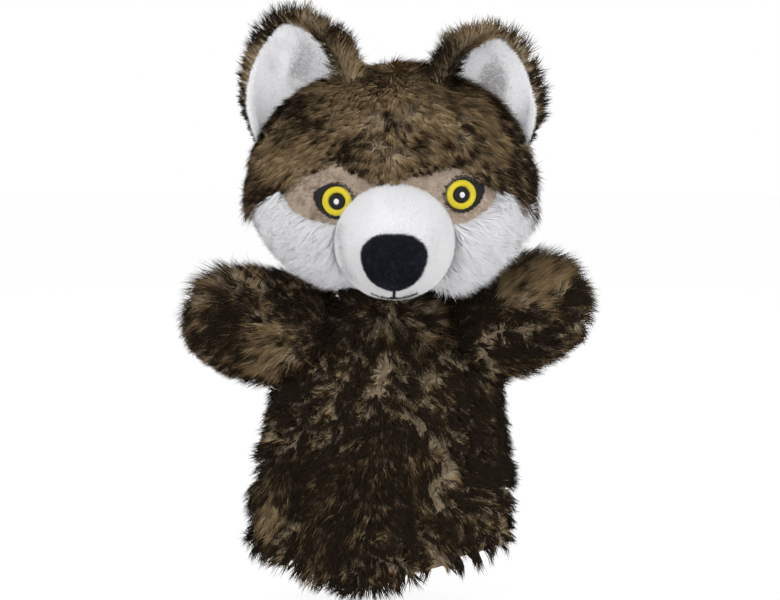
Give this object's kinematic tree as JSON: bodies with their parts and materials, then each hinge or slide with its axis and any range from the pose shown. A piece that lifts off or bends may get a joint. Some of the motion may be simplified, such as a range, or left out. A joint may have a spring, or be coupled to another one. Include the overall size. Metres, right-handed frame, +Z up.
{
  "type": "hand puppet",
  "caption": "Plush wolf hand puppet: a fur glove with two finger arms and a stuffed head with ears, muzzle and embroidered eyes.",
  "frame": {"origin": "centre of the hand opening, in the plane of the hem", "axes": "+Z up through the neck, -Y where the face looks, +X to the puppet's own left arm"},
  "size_m": [0.176, 0.1214, 0.2628],
  "materials": {
    "tipped_fur": "long-pile plush, tan at the root and dark brown at the tips",
    "white_pile": "soft white plush",
    "short_white_plush": "short smooth white plush",
    "beige_plush": "short beige plush",
    "nose_plush": "short blue-black plush",
    "black_thread": "satin embroidery thread",
    "yellow_thread": "satin embroidery thread",
    "white_thread": "satin embroidery thread",
    "lining_cloth": "plain woven lining",
    "stuffing": "polyester fibre"
  },
  "bodies": {
    "glove": {"body_front_panel": "tipped_fur", "body_back_panel": "tipped_fur", "lining_front": "lining_cloth", "lining_back": "lining_cloth", "hem_facing": "lining_cloth"},
    "neck_gusset": {"neck_gusset": "lining_cloth"},
    "neck_binding": {"neck_binding": "lining_cloth"},
    "left_shoulder": {"left_shoulder_lining": "lining_cloth"},
    "left_arm": {"left_arm_front": "tipped_fur", "left_arm_back": "tipped_fur", "left_arm_lining": "lining_cloth"},
    "right_shoulder": {"right_shoulder_lining": "lining_cloth"},
    "right_arm": {"right_arm_front": "tipped_fur", "right_arm_back": "tipped_fur", "right_arm_lining": "lining_cloth"},
    "head": {"head_back_panel": "tipped_fur", "muzzle_cover": "short_white_plush", "muzzle_stuffing": "stuffing", "head_finger_pocket": "lining_cloth", "head_stuffing": "stuffing", "nose": "nose_plush", "mouth_stitching": "black_thread", "left_crown": "tipped_fur", "left_cheek": "white_pile", "left_eye_patch": "beige_plush", "left_eye_outline": "black_thread", "left_eye_iris": "yellow_thread", "left_eye_pupil": "black_thread", "left_eye_glint": "white_thread", "left_ear_back": "tipped_fur", "left_ear_front": "short_white_plush", "right_crown": "tipped_fur", "right_cheek": "white_pile", "right_eye_patch": "beige_plush", "right_eye_outline": "black_thread", "right_eye_iris": "yellow_thread", "right_eye_pupil": "black_thread", "right_eye_glint": "white_thread", "right_ear_back": "tipped_fur", "right_ear_front": "short_white_plush"}
  },
  "joints": [
    {"name": "head_turn", "type": "hinge", "parent": "glove", "child": "neck_gusset", "pos_m": [0, 0, 0.142], "axis": [0, 0, 1], "range_deg": [-30, 30], "stiffness_Nm_per_rad": 0.6},
    {"name": "head_tilt", "type": "hinge", "parent": "neck_gusset", "child": "neck_binding", "pos_m": [0, 0, 0.142], "axis": [0, -1, 0], "range_deg": [-10, 10], "stiffness_Nm_per_rad": 1.2},
    {"name": "head_nod", "type": "hinge", "parent": "neck_binding", "child": "head", "pos_m": [0, 0, 0.142], "axis": [-1, 0, 0], "range_deg": [-20, 20], "stiffness_Nm_per_rad": 1.2},
    {"name": "left_arm_swing", "type": "hinge", "parent": "glove", "child": "left_shoulder", "pos_m": [0.04, 0.002, 0.12], "axis": [0, 0, -1], "range_deg": [-10, 50], "stiffness_Nm_per_rad": 0.08},
    {"name": "left_arm_raise", "type": "hinge", "parent": "left_shoulder", "child": "left_arm", "pos_m": [0.04, 0.002, 0.12], "axis": [0, -1, 0], "range_deg": [-20, 20], "stiffness_Nm_per_rad": 0.12},
    {"name": "right_arm_swing", "type": "hinge", "parent": "glove", "child": "right_shoulder", "pos_m": [-0.04, 0.002, 0.12], "axis": [0, 0, 1], "range_deg": [-10, 50], "stiffness_Nm_per_rad": 0.08},
    {"name": "right_arm_raise", "type": "hinge", "parent": "right_shoulder", "child": "right_arm", "pos_m": [-0.04, 0.002, 0.12], "axis": [0, 1, 0], "range_deg": [-20, 20], "stiffness_Nm_per_rad": 0.12}
  ]
}
